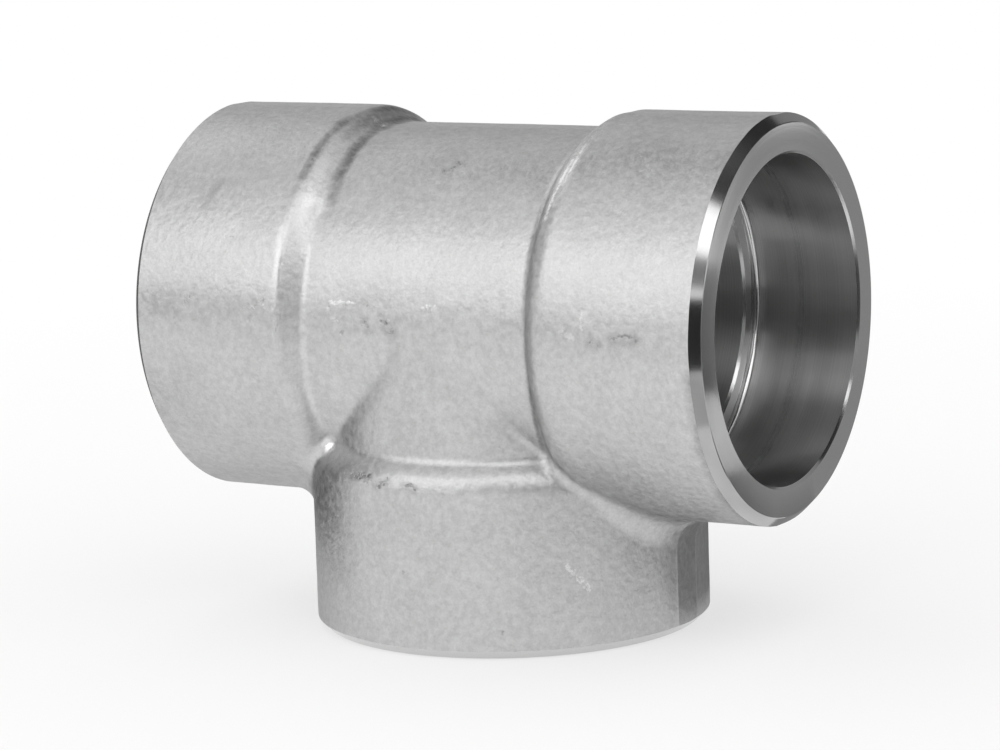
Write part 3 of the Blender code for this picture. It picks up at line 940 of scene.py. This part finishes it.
def emission(name, brightness):
    """A plain white light of that brightness, where 1 is white."""
    material = bpy.data.materials.new(name)
    material.use_nodes = True
    tree = material.node_tree
    tree.nodes.clear()
    light = node(tree, "Emission", {"Color": (1, 1, 1, 1), "Strength": brightness})
    node(tree, "OutputMaterial", {"Surface": light.outputs[0]})
    return material


def staged(name, points, faces, material):
    """A studio object that isn't part of the tee."""
    data = bpy.data.meshes.new(name)
    data.from_pydata(points, [], faces)
    data.materials.append(material)
    thing = bpy.data.objects.new(name, data)
    bpy.context.scene.collection.objects.link(thing)
    return thing


def direction(azimuth, elevation):
    """From the tee towards an azimuth, from -Y towards +X, and an elevation, both in degrees."""
    turn, lift = math.radians(azimuth), math.radians(elevation)
    return Vector((math.sin(turn) * math.cos(lift), -math.cos(turn) * math.cos(lift), math.sin(lift)))


def make_panel(panel):
    """A softbox or card: a curved sheet round the tee, seen in its reflections alone."""
    columns = steps(*panel.azimuths, PANEL_STEPS)
    rows = steps(*panel.elevations, PANEL_STEPS)
    centre = Vector((0, 0, CENTRE_TO_END))
    points = [centre + panel.distance * direction(azimuth, elevation)
              for elevation in rows for azimuth in columns]
    wide = PANEL_STEPS + 1
    faces = [(k, k + 1, k + 1 + wide, k + wide)
             for row in range(PANEL_STEPS) for k in range(row * wide, row * wide + PANEL_STEPS)]
    sheet = staged(panel.name, points, faces, emission(panel.name, panel.brightness))
    sheet.visible_camera = False
    if not panel.lights_floor:
        sheet.visible_diffuse = False
        sheet.visible_shadow = False


def make_floor():
    """A white sheet under the tee. It keeps the tee's shadow and fades into the background, and
    its paper is paler to the camera and in the metal than it lights."""
    material = bpy.data.materials.new("floor_white")
    material.use_nodes = True
    tree = material.node_tree
    tree.nodes.clear()
    place = node(tree, "TexCoord", {}).outputs["Object"]
    reach = node(tree, "VectorMath", {0: place}, operation="LENGTH").outputs["Value"]
    path = node(tree, "LightPath", {})
    seen = combine(tree, "MAXIMUM", path.outputs["Is Camera Ray"], path.outputs["Is Glossy Ray"])
    lift = combine(tree, "MULTIPLY", seen, FLOOR_LIFT)
    fade = ramp(tree, reach, FLOOR_FADE_FROM, FLOOR_FADE_TO, lift, 1.0)
    paper = node(tree, "BsdfDiffuse", {"Color": (FLOOR_TONE, FLOOR_TONE, FLOOR_TONE, 1)})
    white = node(tree, "Emission", {"Color": (1, 1, 1, 1), "Strength": 1.0})
    mixed = node(tree, "MixShader", {0: fade, 1: paper.outputs[0], 2: white.outputs[0]})
    node(tree, "OutputMaterial", {"Surface": mixed.outputs[0]})
    half = FLOOR_HALF_WIDTH
    corners = [(-half, -half, 0), (half, -half, 0), (half, half, 0), (-half, half, 0)]
    staged("floor", corners, [(0, 1, 2, 3)], material)


def make_world():
    """White behind the tee, in its reflections and on the floor."""
    world = bpy.data.worlds.new("studio")
    bpy.context.scene.world = world
    world.use_nodes = True
    background = world.node_tree.nodes["Background"]
    background.inputs["Color"].default_value = (1, 1, 1, 1)
    background.inputs["Strength"].default_value = 1.0


def make_camera():
    """The photograph's own view."""
    azimuth, elevation, roll = map(math.radians, (CAMERA_AZIMUTH, CAMERA_ELEVATION, CAMERA_ROLL))
    forward = -Vector((math.sin(azimuth) * math.cos(elevation),
                       -math.cos(azimuth) * math.cos(elevation), math.sin(elevation)))
    level = forward.cross(Vector((0, 0, 1))).normalized()
    upright = level.cross(forward)
    right = level * math.cos(roll) + upright * math.sin(roll)
    up = upright * math.cos(roll) - level * math.sin(roll)
    data = bpy.data.cameras.new("camera")
    data.lens = CAMERA_LENS
    data.sensor_width = CAMERA_SENSOR
    data.clip_start = CAMERA_CLIP_START
    camera = bpy.data.objects.new("camera", data)
    turn = Matrix((right, up, -forward)).transposed().to_4x4()
    place = (Vector((0, 0, CENTRE_TO_END)) + CAMERA_RIGHT * right + CAMERA_UP * up
             - CAMERA_DISTANCE * forward)
    camera.matrix_world = Matrix.Translation(place) @ turn
    bpy.context.scene.collection.objects.link(camera)
    bpy.context.scene.camera = camera


def main():
    """The tee in its studio, before the photograph's camera."""
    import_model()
    bpy.context.scene.view_settings.view_transform = "Standard"
    turned = [turned_steel(name, axis, finish)
              for name, axis, finish in (("faced_run", "X", FACED), ("faced_branch", "Z", FACED),
                                         ("bored_run", "X", BORED_SHADED), ("bored_branch", "Z", BORED_SHADED))]
    tee = make_tee([forged_skin()] + turned)
    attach(tee, "root")
    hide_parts("tee_body")
    make_floor()
    for panel in PANELS:
        make_panel(panel)
    make_world()
    make_camera()


main()
